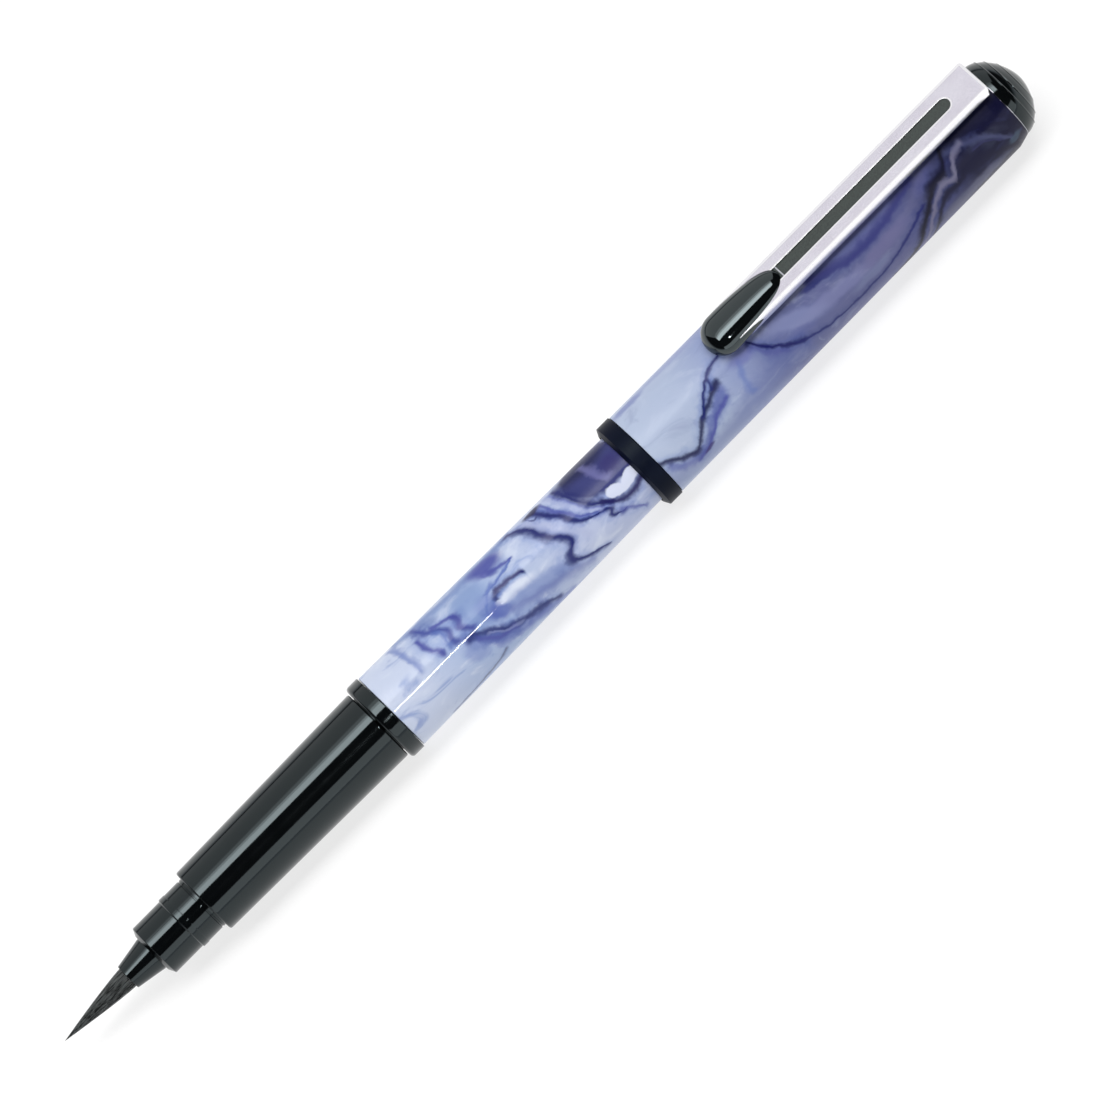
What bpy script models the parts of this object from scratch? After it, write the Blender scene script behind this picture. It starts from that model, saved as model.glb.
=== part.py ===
"""A brush pen lying along X with its cap posted on the rear of the barrel.

The brush points to -X, the cap's dome to +X, and the pocket clip is straight up. Every station along
the pen is in millimetres from the tip of the brush, and every radius is from the pen's axis.
"""

import math

import bmesh
import bpy
from mathutils import Vector

MM = 0.001
SIDES = 32          # sides of a turned piece, a flat one lying straight down
COARSE_SIDES = 16   # sides of the small pieces inside
LIP_SIDES = 16      # sides of the cap's lip, which the pen rests on without rolling
CLEARANCE = 0.1     # between pieces that touch or slide on the real pen

# Stations along the pen
PEN_LENGTH = 160.0
FERRULE_MOUTH = 10.55
NOSE_FRONT = 14.55
GRIP_FRONT = 23.1
GRIP_REAR = 52.35
COLLAR_REAR = 54.4
BARREL_FRONT = 54.5
BARREL_REAR = 121.0
CAP_MOUTH = 94.7
LIP_REAR = 97.05
CAP_TUBE_REAR = 155.6
DOME_FRONT = 156.08

# Radii
TUFT_RADIUS = 1.38
FERRULE_REAR_RADIUS = 2.38
NOSE_RADIUS = 3.65
NOSE_BEAD_RADIUS = 3.83
GRIP_FRONT_RADIUS = 4.60
GRIP_REAR_RADIUS = 5.01
SPIGOT_RADIUS = 4.15
COLLAR_RADIUS = 5.65
BARREL_FRONT_RADIUS = 5.45
BARREL_TAPER = 0.0104   # radius lost per millimetre towards the rear
CARTRIDGE_RADIUS = 3.7
CARTRIDGE_NECK_RADIUS = 2.6
LIP_RADIUS = 6.21
CAP_FRONT_RADIUS = 6.07
CAP_REAR_RADIUS = 5.87
DOME_RADIUS = 5.15
INNER_CAP_BORE = 3.95

# Pocket clip: a folded channel with a black strip in its slot and a teardrop ball at its free end
CLIP_FACE = 8.06          # outer face above the pen's axis
CLIP_HALF_WIDTH = 2.62
CLIP_SHEET = 0.45
CLIP_WALL_DEPTH = 1.4
CLIP_FRONT = 116.0
CLIP_REAR = 156.1
CLIP_END_SHEET = 0.6
SLOT_FRONT = 123.9
SLOT_REAR = 152.0
SLOT_HALF_WIDTH = 0.885
BALL_FRONT = 111.2
BALL_WIDEST = 114.0
BALL_REAR = 123.5
BALL_HALF_WIDTH = 2.85
BALL_HALF_HEIGHT = 1.33
BALL_MIDDLE = 7.42        # above the pen's axis

AXIS_HEIGHT = LIP_RADIUS  # the cap's lip rests on the ground
TIP_X = -PEN_LENGTH / 2

COLOURS = {
    "black_gloss": ((0.012, 0.016, 0.018), 0.12, 0.0),
    "black_satin": ((0.020, 0.022, 0.030), 0.45, 0.0),
    "marble": ((0.55, 0.60, 0.78), 0.30, 0.0),
    "chrome": ((0.74, 0.73, 0.77), 0.22, 1.0),
    "clear_plastic": ((0.75, 0.78, 0.80), 0.25, 0.0),
    "ink_plastic": ((0.05, 0.05, 0.07), 0.35, 0.0),
    "steel": ((0.60, 0.60, 0.62), 0.30, 1.0),
    "rubber": ((0.05, 0.05, 0.05), 0.80, 0.0),
    "felt": ((0.10, 0.10, 0.12), 0.95, 0.0),
    "bristle": ((0.03, 0.03, 0.035), 0.60, 0.0),
}


def clear_scene():
    for obj in list(bpy.data.objects):
        bpy.data.objects.remove(obj, do_unlink=True)


def new_collection(name, hidden=False):
    collection = bpy.data.collections.new(name)
    collection.hide_render = hidden
    bpy.context.scene.collection.children.link(collection)
    return collection


def material(name):
    found = bpy.data.materials.get(name)
    if found:
        return found
    colour, roughness, metallic = COLOURS[name]
    made = bpy.data.materials.new(name)
    made.use_nodes = True
    shader = made.node_tree.nodes["Principled BSDF"]
    shader.inputs["Base Color"].default_value = (*colour, 1.0)
    shader.inputs["Roughness"].default_value = roughness
    shader.inputs["Metallic"].default_value = metallic
    return made


def point(station, y=0.0, height=0.0):
    """World place, in metres, of a station, a sideways distance and a height above the axis."""
    return Vector((TIP_X + station, y, AXIS_HEIGHT + height)) * MM


def body_empty(name, station, height=0.0):
    """An empty on the joint's axis that carries one moving body."""
    empty = bpy.data.objects.new(f"{name}_axis", None)
    empty.empty_display_size = 2 * MM
    empty.location = point(station, height=height)
    parts.objects.link(empty)
    return empty


def add_object(name, mesh, finish, empty, origin):
    """Puts a mesh whose coordinates are measured from origin into the scene, under its body's empty."""
    obj = bpy.data.objects.new(name, mesh)
    parts.objects.link(obj)
    obj.parent = empty
    obj.location = origin - empty.location
    mesh.materials.append(material(finish))
    return obj


def arc(station, radius_at, size, start, end, steps=3):
    """Points of a circular arc in a profile: angles in degrees, 0 towards the rear, 90 outwards."""
    angles = [math.radians(start + (end - start) * i / steps) for i in range(steps + 1)]
    return [(station + size * math.cos(a), radius_at + size * math.sin(a)) for a in angles]


def turned(name, outer, inner, finish, empty, sides=SIDES):
    """A turned piece. outer and inner are (station, radius) points from front to rear; a solid piece
    has no inner, and its outer then starts and ends on the axis."""
    outline = list(reversed(outer)) + list(inner)
    start = math.pi / sides
    mesh = bpy.data.meshes.new(name)
    shape = bmesh.new()
    ring = [
        shape.verts.new((r * MM * math.cos(start), r * MM * math.sin(start), s * MM))
        for s, r in outline
    ]
    for here, there in zip(ring, ring[1:]):
        shape.edges.new((here, there))
    if inner:
        shape.edges.new((ring[-1], ring[0]))
    shape.to_mesh(mesh)
    shape.free()
    obj = add_object(name, mesh, finish, empty, point(0.0))
    obj.rotation_euler = (0.0, math.pi / 2, 0.0)
    screw = obj.modifiers.new("Turn", "SCREW")
    screw.axis = "Z"
    screw.angle = 2 * math.pi
    screw.steps = screw.render_steps = sides
    screw.use_merge_vertices = True
    screw.merge_threshold = 1e-6
    screw.use_smooth_shade = True
    return obj


def box_mesh(name, low, high):
    """A block between two (station, y, height) corners, its coordinates measured from the axis at the tip."""
    mesh = bpy.data.meshes.new(name)
    shape = bmesh.new()
    bmesh.ops.create_cube(shape, size=1.0)
    for vert in shape.verts:
        share = vert.co + Vector((0.5, 0.5, 0.5))
        vert.co = Vector([(a + (b - a) * f) * MM for a, b, f in zip(low, high, share)])
    shape.to_mesh(mesh)
    shape.free()
    return mesh


def slab_mesh(name, outline, low, high):
    """A flat outline of (station, y) points, standing from height low to height high."""
    curve = bpy.data.curves.new(f"{name}_outline", "CURVE")
    curve.dimensions = "2D"
    curve.fill_mode = "BOTH"
    curve.extrude = (high - low) / 2 * MM
    spline = curve.splines.new("POLY")
    spline.points.add(len(outline) - 1)
    for target, (s, y) in zip(spline.points, outline):
        target.co = (s * MM, y * MM, 0.0, 1.0)
    spline.use_cyclic_u = True
    holder = bpy.data.objects.new(f"{name}_outline", curve)
    bpy.context.scene.collection.objects.link(holder)
    bpy.context.view_layer.update()
    evaluated = holder.evaluated_get(bpy.context.evaluated_depsgraph_get())
    mesh = bpy.data.meshes.new_from_object(evaluated)
    bpy.data.objects.remove(holder, do_unlink=True)
    shape = bmesh.new()
    shape.from_mesh(mesh)
    bmesh.ops.remove_doubles(shape, verts=shape.verts, dist=1e-7)
    bmesh.ops.translate(shape, verts=shape.verts, vec=(0.0, 0.0, (low + high) / 2 * MM))
    shape.to_mesh(mesh)
    shape.free()
    return mesh


def boolean(obj, mesh, operation):
    """Cuts a mesh from an object, or joins it, through a hidden helper that moves with the object."""
    helper = bpy.data.objects.new(f"{mesh.name}_{operation.lower()}", mesh)
    cutters.objects.link(helper)
    helper.parent = obj.parent
    helper.location = obj.location
    helper.hide_render = True
    helper.display_type = "WIRE"
    modifier = obj.modifiers.new(helper.name, "BOOLEAN")
    modifier.operation = operation
    modifier.solver = "EXACT"
    modifier.object = helper


def stadium(front, rear, half_width, steps=6):
    """Outline of a slot with round ends."""
    outline = []
    for centre, turn in ((rear - half_width, -90), (front + half_width, 90)):
        for i in range(steps + 1):
            angle = math.radians(turn + 180 * i / steps)
            outline.append((centre + half_width * math.cos(angle), half_width * math.sin(angle)))
    return outline


def barrel_radius(station):
    return BARREL_FRONT_RADIUS - BARREL_TAPER * (station - BARREL_FRONT)


def cap_radius(station):
    share = (station - LIP_REAR) / (154.35 - LIP_REAR)
    return CAP_FRONT_RADIUS + (CAP_REAR_RADIUS - CAP_FRONT_RADIUS) * share


def ball_half_width(station):
    """Plan of the teardrop: a round front, then a taper to a small round end."""
    if station <= BALL_WIDEST:
        lead = (BALL_WIDEST - station) / (BALL_WIDEST - BALL_FRONT)
        return BALL_HALF_WIDTH * math.sqrt(max(0.0, 1 - lead * lead))
    tail = (station - BALL_WIDEST) / (BALL_REAR - BALL_WIDEST)
    return BALL_HALF_WIDTH * (1 - 0.484 * tail**1.5) * math.sqrt(max(0.0, 1 - tail**8))


# The root body: the barrel

def make_barrel(empty):
    liner_rear = 67.5
    plug_front, plug_radius = 114.0, 3.95
    counterbore = 4.95
    turned(
        "barrel_tube",
        [(BARREL_FRONT, barrel_radius(BARREL_FRONT) - 0.12),
         (BARREL_FRONT + 0.12, barrel_radius(BARREL_FRONT)),
         (CAP_MOUTH, barrel_radius(CAP_MOUTH)),
         (BARREL_REAR - 0.3, barrel_radius(BARREL_REAR)),
         (BARREL_REAR, barrel_radius(BARREL_REAR) - 0.25)],
        [(BARREL_FRONT, counterbore), (liner_rear + 0.3, counterbore),
         (liner_rear + 0.3, 4.45), (112.0, 4.10), (BARREL_REAR, 4.10)],
        "marble", empty)
    liner_radius = counterbore - CLEARANCE
    liner_bore = SPIGOT_RADIUS + CLEARANCE
    turned(
        "barrel_liner",
        [(BARREL_FRONT + 0.2, liner_radius), (liner_rear, liner_radius)],
        [(BARREL_FRONT + 0.2, liner_bore), (liner_rear, liner_bore)],
        "black_satin", empty)
    turned(
        "barrel_end_plug",
        [(plug_front, plug_radius), (BARREL_REAR + 0.1, plug_radius),
         (BARREL_REAR + 0.1, 4.55), (BARREL_REAR + 0.6, 4.55),
         (BARREL_REAR + 1.0, 4.2), (BARREL_REAR + 1.0, 0.0)],
        [(plug_front + 6.0, 0.0), (plug_front + 6.0, 3.0), (plug_front, 3.0)][::-1],
        "black_satin", empty)


# The cartridge and what it holds

def make_cartridge(empty):
    neck_front, shoulder, rear = 54.7, 62.0, 112.6
    neck_bore, cavity = 1.95, 3.1
    turned(
        "ink_cartridge",
        [(neck_front, CARTRIDGE_NECK_RADIUS - 0.2), (neck_front + 0.3, CARTRIDGE_NECK_RADIUS),
         (shoulder, CARTRIDGE_NECK_RADIUS), (shoulder + 1.1, CARTRIDGE_RADIUS)]
        + arc(rear - 1.0, CARTRIDGE_RADIUS - 1.0, 1.0, 90, 0) + [(rear, 0.0)],
        [(neck_front, neck_bore), (shoulder + 2.0, neck_bore), (shoulder + 3.2, cavity),
         (rear - 1.2, cavity), (rear - 1.2, 0.0)],
        "clear_plastic", empty)
    turned(
        "cartridge_seal",
        [(neck_front + 0.3, neck_bore - CLEARANCE), (neck_front + 2.3, neck_bore - CLEARANCE)],
        [(neck_front + 0.3, 1.27), (neck_front + 2.3, 1.27)],
        "rubber", empty, COARSE_SIDES)
    ball_radius = 1.5
    shape = bmesh.new()
    bmesh.ops.create_uvsphere(shape, u_segments=12, v_segments=8, radius=ball_radius * MM)
    mesh = bpy.data.meshes.new("stopper_ball")
    shape.to_mesh(mesh)
    shape.free()
    mesh.shade_smooth()
    rest_height = -(cavity - ball_radius - CLEARANCE)
    add_object("stopper_ball", mesh, "steel", empty, point(72.0, height=rest_height))


# The section that is held while writing

def make_collar(empty):
    front, edge = GRIP_REAR + CLEARANCE, 0.5
    bore = SPIGOT_RADIUS + CLEARANCE
    turned(
        "section_collar",
        [(front, COLLAR_RADIUS - edge)]
        + arc(front + edge, COLLAR_RADIUS - edge, edge, 180, 90)[1:]
        + [(COLLAR_REAR, COLLAR_RADIUS)],
        [(front, bore), (COLLAR_REAR, bore)],
        "black_gloss", empty)


def make_section(empty):
    nose_socket, socket_rear = 3.9, 30.0
    collector_bore, collector_rear = 3.3, 51.8
    spigot_rear, spigot_bore = 61.4, 2.8
    edge = 0.25
    turned(
        "grip_section",
        [(GRIP_FRONT, GRIP_FRONT_RADIUS - edge)]
        + arc(GRIP_FRONT + edge, GRIP_FRONT_RADIUS - edge, edge, 180, 90, 2)[1:]
        + [(GRIP_REAR - 0.15, GRIP_REAR_RADIUS), (GRIP_REAR, GRIP_REAR_RADIUS - 0.15),
           (GRIP_REAR, SPIGOT_RADIUS), (spigot_rear - 0.3, SPIGOT_RADIUS),
           (spigot_rear, SPIGOT_RADIUS - 0.3)],
        [(GRIP_FRONT, nose_socket), (socket_rear, nose_socket), (socket_rear, collector_bore),
         (collector_rear, collector_bore), (collector_rear, spigot_bore), (spigot_rear, spigot_bore)],
        "black_gloss", empty)
    nose_bore = FERRULE_REAR_RADIUS + CLEARANCE
    turned(
        "nose_sleeve",
        [(NOSE_FRONT, 2.9), (NOSE_FRONT + 0.45, NOSE_RADIUS), (19.3, NOSE_RADIUS),
         (19.5, NOSE_BEAD_RADIUS), (20.2, NOSE_BEAD_RADIUS), (20.4, 3.77),
         (socket_rear - 0.2, 3.77)],
        [(NOSE_FRONT, nose_bore), (socket_rear - 0.2, nose_bore)],
        "black_gloss", empty)
    tuft_bore = TUFT_RADIUS + 0.12
    root_rear = 17.0
    turned(
        "brush_ferrule",
        [(FERRULE_MOUTH, 1.66), (FERRULE_MOUTH + 0.15, 1.77), (13.2, 2.17),
         (14.4, FERRULE_REAR_RADIUS), (22.0, FERRULE_REAR_RADIUS)],
        [(FERRULE_MOUTH, tuft_bore), (root_rear, tuft_bore), (root_rear, 1.9), (22.0, 1.9)],
        "black_gloss", empty)
    turned(
        "tuft_root",
        [(12.05, 0.0), (12.05, tuft_bore - CLEARANCE), (root_rear - 0.1, tuft_bore - CLEARANCE),
         (root_rear - 0.1, 0.0)],
        [], "bristle", empty, COARSE_SIDES)
    make_ink_feed(empty, root_rear)


def make_ink_feed(empty, root_rear):
    """The finned collector, the wick through it and the tube that pierces the cartridge."""
    wick_radius, wick_rear = 0.9, 45.0
    wick_bore, tube_socket = wick_radius + 0.15, 1.3
    fin_radius, groove_radius = 3.15, 2.45
    fins, fin_front, pitch = 6, 30.3, 2.4
    finned = []
    for i in range(fins):
        front = fin_front + i * pitch
        finned += [(front, groove_radius), (front, fin_radius),
                   (front + pitch / 2, fin_radius), (front + pitch / 2, groove_radius)]
    turned(
        "ink_collector",
        [(22.3, 2.3), (fin_front - 0.2, 2.3), (fin_front - 0.2, groove_radius)] + finned
        + [(46.5, groove_radius), (46.5, fin_radius), (51.5, fin_radius)],
        [(22.3, wick_bore), (wick_rear + 0.4, wick_bore), (wick_rear + 0.4, tube_socket),
         (51.5, tube_socket)],
        "ink_plastic", empty, COARSE_SIDES)
    turned(
        "feed_wick",
        [(root_rear + 0.1, 0.0), (root_rear + 0.1, wick_radius), (wick_rear, wick_radius),
         (wick_rear, 0.0)],
        [], "felt", empty, COARSE_SIDES)
    tube_radius, tube_bore = 1.15, 0.6
    turned(
        "piercing_tube",
        [(wick_rear + 0.6, tube_radius), (59.2, tube_radius), (60.2, tube_bore + 0.15)],
        [(wick_rear + 0.6, tube_bore), (60.2, tube_bore)],
        "ink_plastic", empty, COARSE_SIDES)


def make_tuft(empty):
    """The wet-pointed tuft: a cone with full sides in front of the mouth and a round root behind it."""
    stations = [FERRULE_MOUTH * (i / 8) ** 1.3 for i in range(9)]
    cone = [(s, TUFT_RADIUS * (1 - (1 - s / FERRULE_MOUTH) ** 1.6)) for s in stations]
    root = arc(FERRULE_MOUTH, 0.0, TUFT_RADIUS, 90, 0, 4)[1:-1]
    turned("brush_tuft", cone + root + [(FERRULE_MOUTH + TUFT_RADIUS, 0.0)], [], "bristle", empty,
           COARSE_SIDES)


# The cap

def make_cap(empty):
    lip_bore, tube_bore = 5.28, 5.72
    lip_corner = LIP_RADIUS / math.cos(math.pi / LIP_SIDES)  # so that the flats lie at the lip's radius
    spigot_corner = (tube_bore - 0.2) * lip_corner / LIP_RADIUS
    sleeve_front, sleeve_rear = 99.8, 122.5
    turned(
        "cap_lip_ring",
        [(CAP_MOUTH, 5.65), (CAP_MOUTH + 0.4, lip_corner), (LIP_REAR, lip_corner),
         (LIP_REAR, spigot_corner), (99.6, spigot_corner)],
        [(CAP_MOUTH, lip_bore), (99.6, lip_bore)],
        "black_satin", empty, LIP_SIDES)
    turned(
        "cap_tube",
        [(LIP_REAR + CLEARANCE, cap_radius(LIP_REAR)), (125.0, cap_radius(125.0)),
         (154.35, CAP_REAR_RADIUS), (155.1, 5.66), (CAP_TUBE_REAR, 5.36)],
        [(LIP_REAR + CLEARANCE, tube_bore), (123.0, tube_bore), (123.0, 5.52), (152.8, 5.5),
         (153.6, 5.06), (CAP_TUBE_REAR, 5.06)],
        "marble", empty)
    turned(
        "cap_grip_sleeve",
        [(sleeve_front, tube_bore - CLEARANCE), (sleeve_rear, tube_bore - CLEARANCE)],
        [(sleeve_front, 5.2), (sleeve_rear, 5.02)],
        "black_satin", empty)
    front, rear, web = 123.8, 152.6, 4.75
    turned(
        "inner_cap",
        [(front, 5.4), (front + 2.2, 5.4), (front + 2.5, web), (rear - 3.4, web),
         (rear - 3.1, 5.38), (rear, 5.38), (rear, 0.0)],
        [(front, INNER_CAP_BORE + 0.35), (front + 1.0, INNER_CAP_BORE), (rear - 1.6, INNER_CAP_BORE),
         (rear - 1.6, 0.0)],
        "black_satin", empty)
    stem_bore = 1.6
    turned(
        "cap_top_plug",
        [(rear + 0.15, 4.4), (rear + 1.2, 4.95), (CAP_TUBE_REAR, 4.95)],
        [(rear + 0.15, stem_bore), (CAP_TUBE_REAR, stem_bore)],
        "black_satin", empty)
    turned(
        "clip_ring",
        [(CAP_TUBE_REAR + 0.08, DOME_RADIUS), (DOME_FRONT - 0.08, DOME_RADIUS)],
        [(CAP_TUBE_REAR + 0.08, stem_bore), (DOME_FRONT - 0.08, stem_bore)],
        "chrome", empty)
    make_dome(empty, rear + 0.3, stem_bore - CLEARANCE)


def make_dome(empty, stem_front, stem_radius):
    """The end of the cap: a full dome that steps in by a hair at each of three fine ribs."""
    height = PEN_LENGTH - DOME_FRONT
    fullness = 1.7
    ribs, step = (0.32, 0.55, 0.77), 0.10

    def radius_at(share):
        return DOME_RADIUS * (1 - share**fullness) ** (1 / fullness)

    shares = [i / 10 for i in range(10)] + [0.965]
    dome = [(DOME_FRONT + height * u, radius_at(u)) for u in shares]
    for share in ribs:
        rib_station = DOME_FRONT + height * share
        dome += [(rib_station, radius_at(share) + step / 2), (rib_station + 0.02, radius_at(share) - step / 2)]
    dome.sort()
    turned("finial_dome",
           [(stem_front, 0.0), (stem_front, stem_radius), (DOME_FRONT, stem_radius)]
           + dome + [(PEN_LENGTH, 0.0)],
           [], "black_gloss", empty)


# The pocket clip

def make_clip(empty):
    inside = CLIP_HALF_WIDTH - CLIP_SHEET
    under = CLIP_FACE - CLIP_SHEET
    edge_height = CLIP_FACE - CLIP_WALL_DEPTH
    end_front = CLIP_REAR - CLIP_END_SHEET
    mesh = box_mesh("clip_shell", (CLIP_FRONT, -CLIP_HALF_WIDTH, edge_height),
                    (CLIP_REAR, CLIP_HALF_WIDTH, CLIP_FACE))
    shape = bmesh.new()
    shape.from_mesh(mesh)
    for station in (CLIP_FRONT + 8.5, SLOT_REAR + 0.5):
        bmesh.ops.bisect_plane(shape, geom=shape.verts[:] + shape.edges[:] + shape.faces[:],
                               plane_co=(station * MM, 0, 0), plane_no=(1, 0, 0))
    shape.to_mesh(mesh)
    shape.free()
    shell = add_object("clip_shell", mesh, "chrome", empty, point(0.0))
    boolean(shell, box_mesh("channel", (CLIP_FRONT - 1, -inside, edge_height - 1),
                            (end_front, inside, under)), "DIFFERENCE")
    boolean(shell, box_mesh("end_tab", (end_front, -2.3, 5.56), (CLIP_REAR, 2.3, under)), "UNION")
    boolean(shell, slab_mesh("slot", stadium(SLOT_FRONT, SLOT_REAR, SLOT_HALF_WIDTH),
                             under - 0.5, CLIP_FACE + 0.5), "DIFFERENCE")
    gap = 0.12
    side = [BALL_FRONT + (BALL_REAR - BALL_FRONT) * i / 16 for i in range(17)]
    widths = [max(0.35, ball_half_width(s)) + gap for s in side]
    outline = [(s, y) for s, y in zip(side, widths)] + [(BALL_REAR + gap, 0.0)]
    outline += [(s, -y) for s, y in reversed(list(zip(side, widths)))]
    boolean(shell, slab_mesh("ball_seat", outline, edge_height - 0.5, CLIP_FACE + 0.5), "DIFFERENCE")
    make_inlay(empty, under)
    make_ball(empty)


def make_inlay(empty, under):
    """The strip shows in the slot, a hair below the clip's face, and is held by its wider back."""
    thickness, proud = 0.45, CLIP_FACE - 0.12
    fit = SLOT_HALF_WIDTH - CLEARANCE
    back = box_mesh("clip_inlay", (SLOT_FRONT + 0.3, -1.9, under - CLEARANCE - thickness),
                    (SLOT_REAR + 1.2, 1.9, under - CLEARANCE))
    inlay = add_object("clip_inlay", back, "black_satin", empty, point(0.0))
    strip = slab_mesh("strip", stadium(SLOT_FRONT + CLEARANCE, SLOT_REAR - CLEARANCE, fit),
                      under - CLEARANCE - thickness / 2, proud)
    boolean(inlay, strip, "UNION")


def make_ball(empty):
    """The teardrop at the clip's free end, lofted from a sphere along its plan."""
    shape = bmesh.new()
    bmesh.ops.create_uvsphere(shape, u_segments=20, v_segments=14, radius=1.0)
    length = BALL_REAR - BALL_FRONT
    for vert in shape.verts:
        share = (1 - vert.co.z) / 2
        station = BALL_FRONT + length * share
        round_part = math.hypot(vert.co.x, vert.co.y)
        half_width = ball_half_width(station)
        lift = 0.32 * share
        half_height = BALL_HALF_HEIGHT * (half_width / BALL_HALF_WIDTH) ** 0.85
        across = vert.co.y / round_part if round_part > 1e-6 else 0.0
        up = vert.co.x / round_part if round_part > 1e-6 else 0.0
        vert.co = Vector((station, half_width * across, BALL_MIDDLE + lift + half_height * up)) * MM
    mesh = bpy.data.meshes.new("clip_ball")
    shape.to_mesh(mesh)
    shape.free()
    mesh.shade_smooth()
    add_object("clip_ball", mesh, "black_gloss", empty, point(0.0))


clear_scene()
parts = new_collection("brush_pen")
cutters = new_collection("cutters", hidden=True)
make_barrel(body_empty("barrel", BARREL_FRONT))
make_cartridge(body_empty("cartridge", BARREL_FRONT))
make_collar(body_empty("collar", GRIP_REAR))
make_section(body_empty("section", GRIP_REAR))
make_tuft(body_empty("tuft", FERRULE_MOUTH))
make_cap(body_empty("cap", CAP_MOUTH))
make_clip(body_empty("clip", CLIP_REAR - CLIP_END_SHEET / 2, height=5.4))
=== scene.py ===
# The looks of a brush pen with its cap posted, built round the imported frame. The brush points to -X, the
# cap's dome to +X and the clip to +Z. Stations, in millimetres, are measured from the tip of the brush, radii
# and heights from the pen's axis.

import math
import random

import bmesh
import bpy
from mathutils import Matrix, Vector


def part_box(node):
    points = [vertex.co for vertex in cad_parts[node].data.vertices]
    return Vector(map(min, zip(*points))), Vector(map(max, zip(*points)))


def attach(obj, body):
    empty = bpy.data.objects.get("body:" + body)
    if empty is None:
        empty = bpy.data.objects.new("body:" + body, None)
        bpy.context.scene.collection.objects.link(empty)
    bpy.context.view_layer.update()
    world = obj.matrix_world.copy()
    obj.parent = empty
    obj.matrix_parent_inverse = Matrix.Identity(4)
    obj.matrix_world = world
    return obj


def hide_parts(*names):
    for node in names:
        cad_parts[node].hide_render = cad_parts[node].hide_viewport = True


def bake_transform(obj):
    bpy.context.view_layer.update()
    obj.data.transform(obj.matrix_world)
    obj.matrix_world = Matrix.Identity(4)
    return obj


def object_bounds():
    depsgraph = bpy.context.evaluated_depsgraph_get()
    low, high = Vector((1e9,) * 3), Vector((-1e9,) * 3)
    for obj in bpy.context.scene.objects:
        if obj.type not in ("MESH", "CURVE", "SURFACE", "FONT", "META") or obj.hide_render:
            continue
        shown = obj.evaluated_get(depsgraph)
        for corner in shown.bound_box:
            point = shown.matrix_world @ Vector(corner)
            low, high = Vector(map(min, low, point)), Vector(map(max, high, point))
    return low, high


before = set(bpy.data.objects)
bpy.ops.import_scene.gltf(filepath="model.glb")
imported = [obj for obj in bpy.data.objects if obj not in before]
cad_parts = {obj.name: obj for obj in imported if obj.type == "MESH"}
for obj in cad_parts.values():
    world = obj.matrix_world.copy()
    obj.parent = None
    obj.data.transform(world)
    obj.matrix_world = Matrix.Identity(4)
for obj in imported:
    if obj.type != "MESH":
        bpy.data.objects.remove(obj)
cad_low, cad_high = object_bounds()

MM = 0.001
SIDES = 192                     # sides of a turned piece
CAD_SIDES = 32                  # sides of the frame's turned pieces
TIP = cad_low.x
LENGTH = (cad_high.x - cad_low.x) / MM
lip_low, lip_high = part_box("cap_lip_ring")
AXIS = (lip_low.z + lip_high.z) / 2
VIEW_TILT = math.radians(30.0)  # how far off the clip's normal the eye is
CLIP_FRONT, CLIP_REAR, CLIP_HALF = 112.4, 155.65, 2.62     # the clip's ends and half its width
SLOT_FRONT, SLOT_REAR, SLOT_HALF = 123.25, 151.45, 0.885   # the same of the slot in it
CAP_REAR, DOME_FRONT = 155.85, 155.98                      # the chrome ring shows between them
BALL_FRONT, BALL_WIDEST, BALL_REAR = 110.7, 113.4, 123.15
BALL_HALF_WIDTH, BALL_CROWN, BALL_FOOT, BALL_MIDDLE = 2.86, 2.14, 0.82, 6.92
THREAD_PITCH = 1.6


def at(station, y=0.0, height=0.0):
    """A station, a sideways distance and a height above the axis, in millimetres, as a point in metres."""
    return Vector((TIP + station * MM, y * MM, AXIS + height * MM))


def span(node):
    """Front station, rear station and largest radius of a turned CAD node, in millimetres."""
    low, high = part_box(node)
    radius = (high.y - low.y) / 2 / MM / math.cos(math.pi / CAD_SIDES)
    return (low.x - TIP) / MM, (high.x - TIP) / MM, radius


# ------------------------ meshes

def fillet(before, corner, after, size, steps=5):
    """Points of a round corner of that radius, as far as its two sides have room for it."""
    corner = Vector(corner)
    back, ahead = Vector(before) - corner, Vector(after) - corner
    room = 0.48 * min(back.length, ahead.length)
    back.normalize()
    ahead.normalize()
    half = back.angle(ahead) / 2
    reach = min(size / math.tan(half), room)
    size = reach * math.tan(half)
    centre = corner + (back + ahead).normalized() * (size / math.sin(half))
    first, last = corner + back * reach - centre, corner + ahead * reach - centre
    turn = first.angle_signed(last)
    points = []
    for i in range(steps + 1):
        angle = -turn * i / steps
        c, s = math.cos(angle), math.sin(angle)
        points.append(tuple(centre + Vector((first.x * c - first.y * s, first.x * s + first.y * c))))
    return points


def rounded(outline, closed):
    """An outline of (station, radius) or (station, radius, fillet) points, with its fillets drawn in."""
    points = []
    for i, here in enumerate(outline):
        size = here[2] if len(here) > 2 else 0.0
        at_end = not closed and i in (0, len(outline) - 1)
        if size and not at_end:
            points += fillet(outline[i - 1][:2], here[:2], outline[(i + 1) % len(outline)][:2], size)
        else:
            points.append(tuple(here[:2]))
    return points


def supported(profile, closed):
    """Adds a point just inside both ends of each long straight stretch, so its shading stays straight."""
    points = []
    following = profile[1:] + (profile[:1] if closed else [])
    for here, there in zip(profile, following):
        points.append(here)
        run = math.dist(here, there)
        if run > 0.5:
            for share in (0.04 / run, 1 - 0.04 / run):
                points.append(tuple(a + (b - a) * share for a, b in zip(here, there)))
    return points if closed else points + profile[-1:]


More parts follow.
